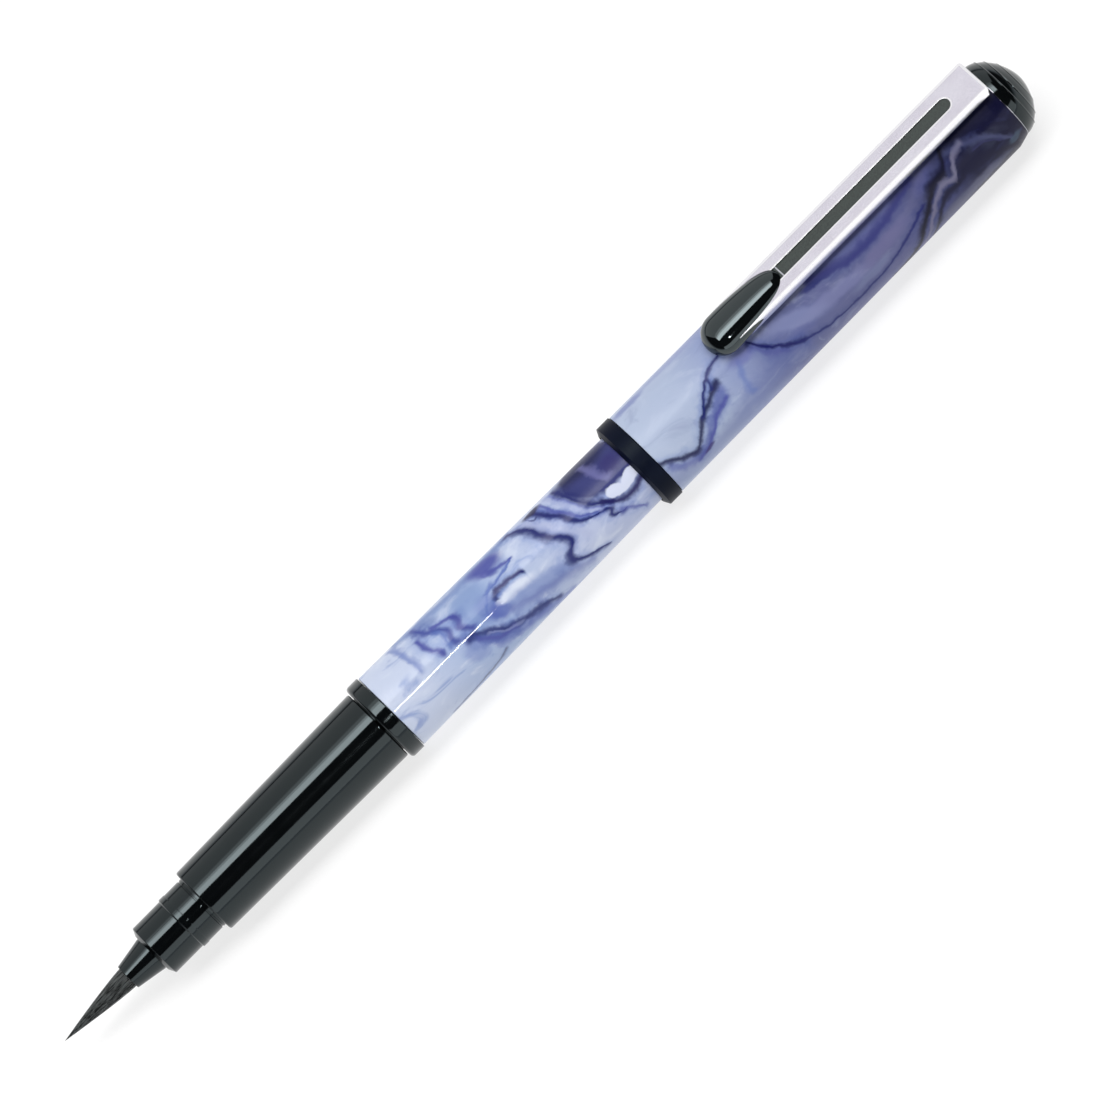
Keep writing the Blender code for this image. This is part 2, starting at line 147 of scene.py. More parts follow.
def skin(shape, rings, closed=False):
    """Faces from each ring of points to the next; a ring of a single point closes an end."""
    sides = max(len(ring) for ring in rings)
    for here, there in zip(rings, rings[1:] + (rings[:1] if closed else [])):
        for i in range(sides):
            j = (i + 1) % sides
            corners = [here[i % len(here)], here[j % len(here)], there[j % len(there)], there[i % len(there)]]
            corners = list(dict.fromkeys(corners))
            if len(corners) > 2:
                shape.faces.new(corners)


def circle(sides):
    return [(math.cos(2 * math.pi * i / sides), math.sin(2 * math.pi * i / sides)) for i in range(sides)]


def turned(name, outer, inner=(), sides=SIDES, sharp=40.0):
    """A turned piece: outer and inner run from front to rear; a solid piece starts and ends on the axis."""
    closed = bool(inner)
    profile = supported(rounded(list(outer) + list(reversed(inner)), closed), closed)
    shape = bmesh.new()
    rings = []
    scale = 1.0 / MM
    for s, r in profile:
        spokes = circle(sides) if r > 1e-6 else [(0.0, 0.0)]
        rings.append([shape.verts.new(at(s, r * n, r * c) * scale) for c, n in spokes])
    skin(shape, rings, closed)
    return shrunk_object(name, shape, sharp)


def placed(name, data):
    """An object with that mesh, lamp or camera, put in the scene."""
    made = bpy.data.objects.new(name, data)
    bpy.context.scene.collection.objects.link(made)
    return made


def shrunk_object(name, shape, sharp):
    """A mesh object from a closed shape that was built with a millimetre as its unit."""
    bmesh.ops.recalc_face_normals(shape, faces=shape.faces)
    bmesh.ops.scale(shape, vec=(MM, MM, MM), verts=shape.verts)
    return plain_object(name, shape, sharp)


def plain_object(name, shape, sharp=40.0):
    """A mesh object whose face normals are already right."""
    mesh = bpy.data.meshes.new(name)
    shape.to_mesh(mesh)
    shape.free()
    mesh.shade_smooth()
    mesh.set_sharp_from_angle(angle=math.radians(sharp))
    return placed(name, mesh)


def fit(piece, body, slot, finish, *nodes):
    """Gives a piece its material and its body, and hides the CAD nodes that it stands for; its slot is not
    used.
    """
    piece.data.materials.clear()
    piece.data.materials.append(finish)
    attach(piece, body)
    if nodes:
        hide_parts(*nodes)
    return piece


# ------------------------ shader building

class Nodes:
    """A material being wired: numbers or sockets go in, and each call gives back a socket."""

    def __init__(self, name):
        self.material = bpy.data.materials.new(name)
        self.material.use_nodes = True
        self.tree = self.material.node_tree
        self.shader = self.tree.nodes["Principled BSDF"]

    def add(self, kind, inputs=(), **settings):
        node = self.tree.nodes.new("ShaderNode" + kind)
        for key, value in settings.items():
            setattr(node, key, value)
        for key, value in dict(inputs).items():
            self.wire(value, node.inputs[key])
        return node

    def wire(self, value, socket):
        if isinstance(value, bpy.types.NodeSocket):
            self.tree.links.new(value, socket)
        else:
            socket.default_value = value

    def set(self, **values):
        """Sets sockets of the Principled shader: names with _ for a space."""
        for key, value in values.items():
            self.wire(value, self.shader.inputs[key.replace("_", " ")])

    def math(self, operation, a, b=0.0, c=0.0):
        return self.add("Math", {0: a, 1: b, 2: c}, operation=operation).outputs[0]

    def times(self, a, b):
        return self.math("MULTIPLY", a, b)

    def weighed(self, a, share_a, b, share_b):
        return self.math("ADD", self.times(a, share_a), self.times(b, share_b))

    def hypotenuse(self, a, b):
        return self.math("SQRT", self.weighed(a, a, b, b))

    def ramp(self, value, low, high, start=0.0, end=1.0, smooth=True):
        ends = {"Value": value, "From Min": low, "From Max": high, "To Min": start, "To Max": end}
        node = self.add("MapRange", ends, interpolation_type="SMOOTHSTEP" if smooth else "LINEAR")
        return node.outputs[0]

    def colours(self, value, stops):
        """A colour ramp over stops of (place, sRGB colour), the places in the value's own units."""
        low, high = stops[0][0], stops[-1][0]
        node = self.add("ValToRGB", {"Fac": self.ramp(value, low, high, smooth=False)})
        elements = node.color_ramp.elements
        for i, (place, colour) in enumerate(stops):
            share = (place - low) / (high - low)
            element = elements[i] if i < 2 else elements.new(share)
            element.position = share
            element.color = film(colour)
        return node.outputs[0]

    def mix(self, factor, first, second, blend="MIX"):
        node = self.add("Mix", data_type="RGBA", blend_type=blend)
        for index, value in ((0, factor), (6, first), (7, second)):
            self.wire(value, node.inputs[index])
        return node.outputs[2]

    def place(self):
        """Station, sideways distance and height above the axis, in millimetres."""
        coordinates = self.add("TexCoord").outputs["Object"]
        shift = self.add("VectorMath", {0: coordinates, 1: (TIP, 0.0, AXIS)}, operation="SUBTRACT")
        scaled = self.add("VectorMath", {0: shift.outputs[0], "Scale": 1 / MM}, operation="SCALE")
        return scaled.outputs[0]

    def noise(self, vector, scale, detail=3.0, roughness=0.5, distortion=0.0, output="Fac"):
        node = self.add("TexNoise", {"Vector": vector, "Scale": scale, "Detail": detail,
                                     "Roughness": roughness, "Distortion": distortion})
        return node.outputs[output]

    def bump(self, height, depth_mm):
        node = self.add("Bump", {"Height": height, "Distance": depth_mm * MM})
        self.tree.links.new(node.outputs[0], self.shader.inputs["Normal"])


def linear(colour):
    """An sRGB colour, 0 to 255, as linear RGBA."""
    return tuple(c / 12.92 if c <= 0.04045 else ((c + 0.055) / 1.055) ** 2.4 for c in
                 (v / 255 for v in colour)) + (1.0,)


# ------------------------ materials

def moulded(name, colour, roughness, grain=0.03, specular=0.5):
    """Moulded plastic: a faint unevenness in its gloss and surface, and the finest of handling marks."""
    m = Nodes(name)
    place = m.place()
    cloud = m.noise(place, 0.25, 4.0, 0.6)
    fine = m.noise(place, 6.0, 2.0, 0.6)
    shade = m.mix(m.ramp(cloud, 0.3, 0.7), linear(colour), linear([v * 1.2 + 1 for v in colour]))
    m.set(Base_Color=shade, Roughness=m.ramp(cloud, 0.25, 0.75, roughness * 0.85, roughness * 1.2), IOR=1.5)
    m.set(Specular_IOR_Level=specular, Specular_Tint=(0.84, 1.0, 1.04, 1.0))
    m.bump(fine, grain * 0.02)
    return m.material


def satin_chrome(name):
    """Pearl chrome plate: a fine blasted grain, polished smoother along the clip's edges and round its slot,
    where its colour is also lightened as a painted highlight.
    """
    m = Nodes(name)
    place = m.place()
    split = m.add("SeparateXYZ", {0: place}).outputs
    aside = m.math("ABSOLUTE", split[1])
    past = m.math("MAXIMUM", m.math("SUBTRACT", split[0], SLOT_REAR - SLOT_HALF), 0.0)
    round_slot = m.hypotenuse(past, aside)
    # edge marks the clip's outer edges and the rim of the slot: real polish there (less roughness) and a
    # painted highlight (a lighter colour)
    edge = m.math("MAXIMUM", m.ramp(round_slot, SLOT_HALF + 0.16, SLOT_HALF + 0.26, 1.0, 0.0),
                  m.math("MAXIMUM", m.ramp(aside, CLIP_HALF - 0.42, CLIP_HALF - 0.3),
                         m.ramp(split[0], CLIP_REAR - 0.42, CLIP_REAR - 0.3)))
    grain = m.noise(place, 14.0, 2.0, 0.7)
    cloud = m.noise(place, 0.35, 3.0, 0.5)
    shade = m.mix(m.ramp(cloud, 0.3, 0.7), linear((212, 208, 219)), linear((218, 215, 225)))
    satin = m.ramp(grain, 0.3, 0.7, 0.20, 0.30)
    # painted highlight: the colour turns near white along the clip's outer edges and round the slot
    shade = m.mix(edge, shade, linear((250, 249, 252)))
    m.set(Base_Color=shade, Metallic=1.0, Roughness=m.math("SUBTRACT", satin, m.times(edge, 0.15)))
    m.bump(grain, 0.0012)
    return m.material


def grained(name, grain, spread, dark, light, gloss, depth=0.0, stretch=None, **more):
    """A material that follows one grain: noise of that scale, detail and roughness.

    Its colour runs from dark to light over the spread of the grain, and its roughness over that of the gloss.
    """
    m = Nodes(name)
    place = m.place()
    if stretch:
        place = m.add("Mapping", {"Vector": place, "Scale": stretch}).outputs[0]
    value = m.noise(place, *grain)
    share = m.ramp(value, *spread) if spread else value
    m.set(Base_Color=m.mix(share, linear(dark), linear(light)), Roughness=m.ramp(value, *gloss), **more)
    if depth:
        m.bump(value, depth)
    return m.material


def felt_material(name):
    m = Nodes(name)
    fibre = m.noise(m.place(), 8.0, 4.0, 0.8, 1.5)
    m.set(Base_Color=m.mix(fibre, linear((18, 19, 24)), linear((70, 72, 80))))
    m.set(Roughness=0.95, Sheen_Weight=0.3)
    m.bump(fibre, 0.08)
    return m.material


# The marbled film. Its pattern is drawn on the half that faces the eye and mirrored on the other, so it has
# no seam. A vein is a smooth curve through a few (station, across) points, across being the distance from
# the middle of that half as the eye sees it, in millimetres.

NAVY, INK, VIOLET, BLUE = (46, 50, 110), (34, 36, 80), (88, 94, 166), (104, 124, 188)
WHITE, HEART, POOL = (222, 229, 245), (220, 226, 246), (68, 72, 124)
MIST = (0.46, 0.55, 0.80, 1.0)  # what a vein's soft edge multiplies the film's colour by


def film(colour):
    """The film's own colour where it should look like this sRGB colour under its gloss."""
    return tuple(max(0.002, (v - 0.022) / 1.22) for v in linear(colour)[:3]) + (1.0,)


class Marble(Nodes):
    def __init__(self, name, radius):
        super().__init__(name)
        self.radius, waver = radius, 0.44
        self.where = self.place()
        split = self.add("SeparateXYZ", {0: self.where}).outputs
        toward = self.weighed(split[1], -math.sin(VIEW_TILT), split[2], math.cos(VIEW_TILT))
        aside = self.weighed(split[1], -math.cos(VIEW_TILT), split[2], -math.sin(VIEW_TILT))
        reach = self.hypotenuse(toward, aside)
        lean = self.math("ARCSINE", self.math("DIVIDE", aside, self.math("MAXIMUM", reach, 0.01)))
        wave = self.noise(self.where, 0.55, 3.0, 0.55, output="Color")
        wave = self.add("SeparateXYZ", {0: wave}).outputs
        waver_s = self.ramp(wave[0], 0.0, 1.0, -waver, waver, smooth=False)
        waver_a = self.ramp(wave[1], 0.0, 1.0, -waver, waver, smooth=False)
        self.station = self.math("ADD", split[0], waver_s)
        self.across = self.math("MULTIPLY_ADD", lean, radius, waver_a)
        self.swell = self.ramp(self.noise(self.where, 0.8, 2.0, 0.5), 0.3, 0.7, 1.3, 0.75)
        self.colour = None

    def unrolled(self, w):
        """Distance round the surface of a point seen that far from the middle."""
        return self.radius * math.asin(max(-1.0, min(1.0, w / self.radius)))

    def paint(self, colour, mask, strength=1.0):
        if strength != 1.0:
            mask = self.times(mask, strength)
        self.colour = self.mix(mask, self.colour, film(colour))

    def vein(self, colour, points, near, far=None, strength=0.85, along="station", fade=0.7):
        """near and far are its soft half-widths towards lower and higher values across the curve."""
        far = near if far is None else far
        points = [(s, self.unrolled(w)) for s, w in points]
        u, v = (self.station, self.across) if along == "station" else (self.across, self.station)
        if along != "station":
            points = [(a, s) for s, a in points]
        points = sorted(points)
        (low_u, high_u), values = (points[0][0], points[-1][0]), [p[1] for p in points]
        low_v, high_v = min(values) - 0.5, max(values) + 0.5
        node = self.add("FloatCurve", {"Value": self.ramp(u, low_u, high_u, smooth=False)})
        curve = node.mapping.curves[0]
        for i, (pu, pv) in enumerate(points):
            x, y = (pu - low_u) / (high_u - low_u), (pv - low_v) / (high_v - low_v)
            if i < 2:
                curve.points[i].location = (x, y)
            else:
                curve.points.new(x, y)
        node.mapping.update()
        middle = self.ramp(node.outputs[0], 0.0, 1.0, low_v, high_v, smooth=False)
        off = self.math("SUBTRACT", v, middle)
        share = self.math("MAXIMUM", self.math("DIVIDE", off, far), self.math("DIVIDE", off, -near))
        body = self.ramp(self.times(share, self.swell), 0.05, 1.3, 1.0, 0.0)
        ends = self.times(self.ramp(u, low_u - fade, low_u + 0.1),
                         self.ramp(u, high_u - 0.1, high_u + fade, 1.0, 0.0))
        if sum(colour) < 400:  # a dark vein has a soft edge
            halo = self.ramp(self.times(share, self.swell), 0.3, 3.4, 0.6 * strength, 0.0)
            self.colour = self.mix(self.times(halo, ends), self.colour, MIST, "MULTIPLY")
        self.paint(colour, self.times(body, ends), strength)

    def upright(self, colour, points, near, far, strength=0.85, fade=0.7):
        """A vein that runs round the pen more than along it."""
        self.vein(colour, points, near, far, strength, "across", fade)

    def patch(self, colour, centre, size, turn=0.0, strength=0.85, soft=0.45):
        """An oval patch: centre and half-sizes as (station, across), turned by some degrees."""
        s, a = centre[0], self.unrolled(centre[1])
        c, n = math.cos(math.radians(turn)), math.sin(math.radians(turn))
        ds, da = self.math("SUBTRACT", self.station, s), self.math("SUBTRACT", self.across, a)
        reach = self.hypotenuse(self.weighed(ds, c / size[0], da, n / size[0]),
                                self.weighed(ds, -n / size[1], da, c / size[1]))
        self.paint(colour, self.ramp(reach, 1.0 - soft, 1.0 + soft, 1.0, 0.0), strength)

    def clouds(self, light, dark, amount, light_amount=None):
        """Soft drifts of a lighter and a darker tone, and a scatter of faint drawn-out filaments."""
        drawn = self.add("Mapping", {"Vector": self.where, "Scale": (0.16, 0.34, 0.34),
                                     "Rotation": (0.3, 0.2, 0.5)}).outputs[0]
        drift = self.noise(drawn, 1.0, 4.0, 0.55, 1.2)
        self.paint(light, self.ramp(drift, 0.52, 0.72), amount if light_amount is None else light_amount)
        self.paint(dark, self.ramp(drift, 0.46, 0.26), amount)

    def finish(self, roughness, coat, coat_roughness):
        grain = self.noise(self.where, 5.0, 2.0, 0.5)
        self.set(Base_Color=self.colour, IOR=1.5)
        self.set(Roughness=self.ramp(grain, 0.3, 0.7, roughness * 0.9, roughness * 1.15))
        self.set(Specular_IOR_Level=0.16, Coat_Weight=coat, Coat_Roughness=coat_roughness)
        return self.material


def barrel_marble():
    m = Marble("barrel marble", span("barrel_tube")[2])
    m.colour = m.colours(m.station, [(54, (206, 215, 236)), (60, (200, 210, 233)), (65, (180, 195, 226)),
                                     (72, (166, 184, 220)), (78, (188, 200, 228)), (84, (196, 205, 231)),
                                     (94, (180, 190, 222)), (121, (172, 182, 216))])
    m.clouds((214, 222, 240), (140, 158, 206), 0.8)
    # fine upright veins near the front, under a bluish wash along the top
    m.vein((118, 140, 192), [(60, -5.3), (66, -5), (71, -4.9), (79, -5.3)], 1.3, 1.3, 0.85)
    m.patch((124, 142, 190), (64.4, -4.4), (1.7, 0.8), 10, 0.75)
    m.patch((138, 160, 204), (69.8, -2.4), (2.6, 2.8), 0, 0.85)
    m.patch((116, 134, 192), (71.3, -0.4), (1.8, 1.6), 20, 0.75)
    m.upright(BLUE, [(59.2, -5.2), (60, -4), (60.1, -2.8), (60.5, -1.6), (60.3, -0.8)], 0.5, 0.8, 0.7)
    m.upright(VIOLET, [(62.4, -3.7), (62.4, -2.8), (62.9, -1.8), (63.4, -1.1), (63.5, -0.3)], 0.55, 0.6,
        0.95)
    m.upright((74, 84, 158), [(62.9, -5), (63.5, -4.1), (64.3, -3.4), (65.2, -2.8), (65.8, -2), (65.7, -1.3),
        (65.5, -0.8), (65.8, -0.2)], 0.75, 0.7, 0.9)
    m.upright(BLUE, [(64.6, -3), (65.1, -2.1), (64.8, -1.2), (64.7, -0.3)], 0.5, 0.5, 0.8)
    m.vein(VIOLET, [(64.6, -3.7), (66, -3.25), (67, -2.95), (67.7, -2.5)], 0.45, 0.55, 0.9, fade=0.3)
    m.upright((78, 84, 158), [(67.5, -2.7), (67.6, -2), (67.2, -1.4), (67.6, -0.8), (68.1, -0.2)], 0.7, 0.8,
        0.9)
    # the eye-shaped swirl
    m.patch((86, 92, 166), (74.2, -4.5), (2.4, 1.4), 12, 0.95)
    m.patch((90, 94, 168), (74, -3.5), (1.3, 0.6), 30, 0.8)
    m.patch(WHITE, (78, -3.4), (1.7, 0.9), -30, 0.5)
    m.vein(BLUE, [(72, -1.9), (73.6, -2), (75, -2.25), (76.3, -2.65), (77, -2.95)], 0.35, 0.25, 0.95)
    m.vein(VIOLET, [(74.2, -3.4), (75, -3.2), (76, -3.1), (77, -2.95)], 0.3, 0.25, 0.9)
    m.vein(BLUE, [(70.5, 0.2), (70.8, -0.5), (71.5, -1.1), (72.2, -1.8), (73.2, -2.3)], 0.45, 0.35, 0.75)
    m.patch((100, 114, 182), (71.9, 0.8), (1.4, 1), 30, 0.95)
    m.patch(WHITE, (75, 0.25), (2.6, 0.8), 6, 1, 0.3)
    m.vein(NAVY, [(73, -1.3), (74.2, -1.3), (75.4, -1.15), (76.4, -0.95), (77, -0.6)], 0.45, 0.4, 1,
        fade=0.3)
    m.upright(NAVY, [(73, -1.5), (72.6, -0.9), (72.5, -0.3)], 0.45, 0.45, 0.8, 0.2)
    m.patch((140, 156, 202), (77.5, 2.2), (4.8, 1.2), 14, 0.8)
    # diagonal veins below it, over a broad soft swath
    m.vein((112, 126, 188), [(66.4, 0.2), (68.5, 1.6), (70.5, 2.9), (73, 3.7), (76.5, 4.4)], 1.1, 1.5, 0.75)
    m.patch((138, 154, 203), (66.6, 2.3), (1.7, 1.2), 30, 0.7)
    m.patch((108, 122, 184), (69.5, 2.7), (1.8, 0.9), 40, 0.8)
    m.vein((122, 136, 194), [(69, 3.4), (72, 4.3), (76, 4.9), (80, 5.3)], 1, 1.2, 0.8)
    m.vein(NAVY, [(66.7, 0.6), (67.9, 0.65), (68.8, 1.1), (69.8, 1.9), (70.8, 2.7), (72.2, 3.3), (73.6, 3.6),
        (75.2, 3.9), (76.8, 4.3), (78.2, 4.8)], 0.6, 0.8, 0.8)
    m.vein(VIOLET, [(67.8, 1.3), (68.6, 2), (69.5, 2.8), (70.6, 3.2), (72, 3.5)], 0.5, 0.6, 0.8)
    m.vein((150, 162, 208), [(69.2, 1.7), (70.2, 2.6), (71.5, 3.25), (73, 3.6)], 0.25, 0.3, 0.5)
    m.vein(VIOLET, [(73, 1.6), (76, 2.6), (80, 3.4), (84, 4.6)], 0.8, 1.3, 0.35)
    m.vein((92, 94, 116), [(60, 5.3), (64, 5.2), (67, 5), (69.2, 4.5)], 0.25, 0.45, 0.7)
    # long veins across the middle
    m.upright(VIOLET, [(79.4, -5.1), (81.2, -4.1), (82, -2.3), (82.8, -0.9), (84, 0.5), (84, 1.1),
        (83, 1.9)], 0.9, 0.9, 0.35)
    m.upright(NAVY, [(78.8, -5.1), (80.4, -4.3), (81.2, -3.3), (81.6, -2.1), (82.2, -1.1), (83.1, -0.2),
        (83.6, 0.6), (83.5, 1.1), (82.7, 1.7), (82.3, 2.2), (82.4, 2.8), (83.2, 3.4), (84.6, 4),
        (86.6, 4.6)], 1.05, 0.55, 0.95)
    m.upright((184, 192, 223), [(81.2, -4.7), (82.2, -3.4), (83.2, -2), (84.3, -0.4), (85.2, 1),
        (85.6, 2.2)], 0.9, 0.9, 0.85)
    m.upright((112, 128, 192), [(83.3, -4.8), (84, -3.4), (85.1, -1.9), (86.1, -0.4), (87.6, 0.7),
        (88.9, 1.3)], 1.3, 1, 0.9)
    m.upright((168, 180, 220), [(83.8, -4.4), (84.4, -3.2), (85.3, -1.8), (86.2, -0.5), (87.3, 0.4)], 0.3,
        0.3, 0.55)
    m.upright(NAVY, [(82.8, -4.9), (83.3, -4), (84, -3), (84.8, -2), (85.3, -1), (86, -0.1), (87, 0.7),
        (88.2, 1.05), (89, 1.35), (89.5, 1.75), (89.2, 2.3), (89.7, 2.75), (90.7, 2.95)], 0.7, 0.6, 0.95)
    m.upright(VIOLET, [(84, -4.8), (84.5, -3.4), (85.4, -1.9), (86.4, -0.5), (87.5, 0.4), (88.7, 0.9)], 0.35,
        0.35, 0.8)
    m.patch((44, 44, 84), (82.6, -5), (1.3, 0.7), 0, 0.95)
    m.vein(NAVY, [(81.7, -4.8), (81.9, -4.3), (82.8, -4.2)], 0.3, 0.3, 0.7, fade=0.2)
    # the dark pool by the cap, with a pale rim and a heart of white
    m.upright((184, 192, 224), [(84.9, -5.1), (85.8, -3.2), (86.8, -1.4), (88, 0), (88.9, 0.7)], 0.55, 0.55,
        0.95)
    m.patch(POOL, (91.4, -4), (4.7, 4.3), 4, 1, 0.1)
    m.patch(POOL, (94.2, -1.5), (2.2, 1.5), 0, 1, 0.15)
    m.patch((46, 48, 82), (90.6, -4.9), (4, 1.9), 0, 0.85)
    m.patch((62, 58, 112), (93.2, -2.6), (1.3, 1.3), 0, 0.7)
    m.upright((126, 126, 180), [(90.4, -4.7), (90.9, -3.2), (91.3, -2.2), (91.9, -1.4)], 0.6, 0.9, 0.6)
    m.upright((132, 140, 198), [(85.7, -4.9), (86.2, -3.5), (86.8, -2.1), (87.8, -0.6), (89, 0.7),
        (89.8, 1.2)], 0.35, 0.35, 0.8)
    m.upright(NAVY, [(86.2, -5), (86.7, -3.5), (87.2, -2.2), (88.1, -0.9), (89.2, 0.4), (90, 1.1)], 0.6, 0.8,
        0.95)
    m.patch((166, 172, 210), (95.8, -5.1), (1.6, 1), 30, 0.8, 0.3)
    m.vein((50, 48, 98), [(89.3, 0.3), (90.2, 1.1), (91.2, 1.8), (92.4, 2.15), (93.6, 2.1), (94.6, 1.7),
        (95.8, 1)], 0.75, 0.5, 0.95)
    m.patch(HEART, (91.4, 0.4), (1.15, 0.85), 25, 1, 0.15)
    m.patch(HEART, (93.9, 0.3), (1.5, 0.85), -18, 1, 0.15)
    m.patch(HEART, (92.8, 0.9), (1.6, 0.6), 0, 1, 0.2)
    m.vein(VIOLET, [(90.4, 2.7), (91.4, 3.3), (92.2, 3.9), (92.8, 4.5)], 0.5, 0.7, 0.7)
    return m.finish(0.36, 0.2, 0.04)


def cap_marble():
    m = Marble("cap marble", span("cap_tube")[2])
    m.colour = m.colours(m.station, [(97, (186, 198, 222)), (105, (178, 190, 216)), (111, (150, 162, 200)),
                                     (118, (106, 112, 156)), (126, (106, 110, 152)), (138, (106, 108, 148)),
                                     (145, (76, 78, 112)), (148, (42, 44, 70)), (156, (36, 38, 62))])
    m.clouds((200, 210, 230), (84, 90, 144), 0.22, m.ramp(m.station, 112.0, 144.0, 0.3, 0.03))
    m.vein((112, 122, 174), [(97, 4.4), (104, 5.2), (112, 4.2), (120, 3)], 2.2, 5, 0.5)
    m.patch((118, 128, 184), (99.5, -5.6), (2.4, 0.8), 0, 0.7)
    m.patch((146, 156, 200), (107, -5.8), (6, 0.8), 0, 0.6)
    # the feathered vein near the mouth
    m.vein((118, 126, 182), [(98, 3.2), (101.5, 4.6), (104.5, 3.4), (107, 1.9), (108.6, 1)], 1.2, 1.1, 0.75)
    m.vein(VIOLET, [(101.2, 4.9), (103, 4.6), (104, 4), (105.2, 3.4), (106.2, 2.7), (107.2, 2.4),
        (108.3, 2)], 0.5, 0.45, 0.9)
    m.patch((74, 66, 120), (102.9, 4.8), (0.9, 0.3), -20, 0.8)
    m.vein(INK, [(97.2, 2), (98.5, 2.6), (99.6, 3.2), (100.6, 3.65), (101.5, 3.9), (102.5, 3.4),
        (103.4, 2.7), (104.4, 1.95), (105.4, 1.3), (106.3, 1), (107.2, 0.65), (108.2, 0.2), (108.8, -0.1)],
        0.5, 0.7, 0.9)
    m.vein(NAVY, [(104.8, 1.7), (105.6, 0.9), (106.4, 0.1), (107.2, -0.6), (108, -1.2), (108.8, -1.65),
        (109.8, -1.95), (111.6, -2.35)], 0.35, 0.45, 0.95)
    m.upright(NAVY, [(108, -1.1), (107.9, -0.5), (107.7, 0.3)], 0.35, 0.35, 0.85, 0.2)
    m.upright(BLUE, [(112.3, 0), (111.6, 1.4), (111.1, 3), (111.2, 3.8)], 0.5, 0.6, 0.55)
    m.patch((116, 122, 182), (113.4, -0.2), (2.2, 0.9), 0, 0.7)
    # the long curved vein and the lighter lens inside it
    m.patch((136, 143, 184), (120.4, 1.3), (4.2, 1.1), 24, 0.8)
    m.patch((104, 110, 160), (120.6, 2.9), (1.7, 0.6), 20, 0.6)
    m.patch((134, 138, 180), (126.5, 2.6), (5, 0.9), 6, 0.6)
    m.patch((58, 62, 120), (125.2, -0.1), (2.4, 0.45), 8, 0.9)
    m.vein((96, 100, 160), [(114.4, -0.6), (115, 0.9), (116, 2.1), (117.2, 3)], 0.6, 0.9, 0.7)
    m.vein((44, 46, 100), [(114.7, -0.8), (115.2, 0.3), (115.9, 1.1), (116.7, 1.95), (117.6, 2.75),
        (118.6, 3.35), (119.8, 3.8)], 0.5, 0.5, 1)
    m.vein(NAVY, [(118.8, 3.4), (120.2, 4), (122, 4.5), (124.5, 4.85), (128, 5), (131, 4.95), (133.5, 4.75),
        (135.5, 4.35), (137.5, 3.75), (139, 3.2), (140.6, 2.5)], 0.3, 0.3, 0.85)
    m.vein((120, 124, 172), [(128, -0.8), (131.5, -0.1), (135, -0.1), (138, -0.7)], 0.6, 0.8, 0.6)
    m.vein((70, 72, 128), [(124.5, -0.9), (127, 0), (128.5, 0.5), (130, 0.9), (132, 1.05), (134, 1),
        (136, 0.75), (138, 0.3), (140, -0.2), (141.6, -0.8)], 0.9, 0.55, 0.9)
    m.patch((126, 134, 170), (131, 4), (3.2, 0.6), 0, 0.6)
    m.patch((118, 116, 156), (134, 2.6), (3.6, 0.9), -6, 0.6)
    m.patch((104, 106, 152), (142.6, 0.4), (1.9, 0.8), -20, 0.6)
    # the dark folds by the dome
    m.patch((102, 104, 130), (146.5, 5.5), (6, 1), 0, 0.85)
    m.patch((40, 38, 66), (148.3, 3.2), (2.4, 1.2), 20, 0.95)
    m.vein((36, 34, 58), [(133, 6.2), (137, 5.8), (138.4, 5.1), (139.6, 4.3), (140.8, 3.4), (142, 2.55),
        (143, 1.9), (144, 1.6), (145, 1.55), (145.6, 0.9), (146.1, 0.1), (146.6, -0.8)], 1.1, 0.9, 1)
    m.vein((40, 38, 64), [(139.6, 6), (141.2, 5.2), (142.4, 4.3), (143.6, 3.75), (145, 3.8), (146.4, 3.6),
        (147.6, 2.8), (148.8, 2.9), (150.6, 4), (152.6, 5), (155, 5.8)], 0.8, 0.9, 0.95)
    m.vein((84, 88, 122), [(147, 0.2), (148.6, 0.7), (150.2, 1.3), (151.6, 2.2), (152.8, 3.2), (153.8, 4.4)],
        0.8, 0.7, 0.75)
    m.vein((64, 64, 104), [(149.6, 2.1), (151.2, 2.6), (152.6, 3.6)], 0.3, 0.3, 0.6)
    m.vein((124, 122, 148), [(138.2, 5.9), (140, 5.1), (141.2, 4.1), (142.4, 3.2), (143.4, 2.75),
        (144.4, 2.65), (145.6, 2.9), (146.2, 2.2), (146.8, 1.3), (147.6, 0.7), (148.8, 0.4)], 0.55, 0.65,
        0.85)
    m.patch((78, 94, 114), (154.2, 4.8), (1, 0.6), 0, 0.7)
    m.vein((38, 35, 64), [(147.4, -1.4), (150, -0.7), (152.6, 0.2), (154.4, 1.6), (155.8, 3.2)], 1.1, 0.8,
        0.8)
    return m.finish(0.38, 0.12, 0.14)


# ------------------------ the barrel and the cap

def make_barrel(film, satin):
    front, rear, radius = span("barrel_tube")
    taper, wall, insert_rear, bore = 0.0104, 0.5, 67.8, 4.1
    rear_radius = radius - taper * (rear - front)
    fit(turned("barrel", [(front, radius, 0.12), (rear, rear_radius, 0.35)],
               [(front, radius - wall, 0.08), (insert_rear, radius - wall), (insert_rear, 4.45),
                (112.0, bore), (rear, bore)]),
        "barrel", "marble", film, "barrel_tube")
    liner_front, liner_rear, liner_radius = span("barrel_liner")
    fit(turned("barrel_thread_insert", [(liner_front, liner_radius), (liner_rear, liner_radius)],
               [(liner_front, 4.25, 0.12), (liner_rear, 4.25)]),
        "barrel", "black_satin", satin, "barrel_liner")
    plug_front, plug_rear, plug_radius = span("barrel_end_plug")
    stem, dimple = 3.95, 0.3
    fit(turned("barrel_rear_plug", [(plug_front, 0.0), (plug_front, stem), (rear + 0.1, stem),
                                    (rear + 0.1, plug_radius, 0.15), (plug_rear, plug_radius, 0.4),
                                    (plug_rear, 1.6, 0.1), (plug_rear - dimple, 1.4, 0.1),
                                    (plug_rear - dimple, 0.0)]),
        "barrel", "black_satin", satin, "barrel_end_plug")


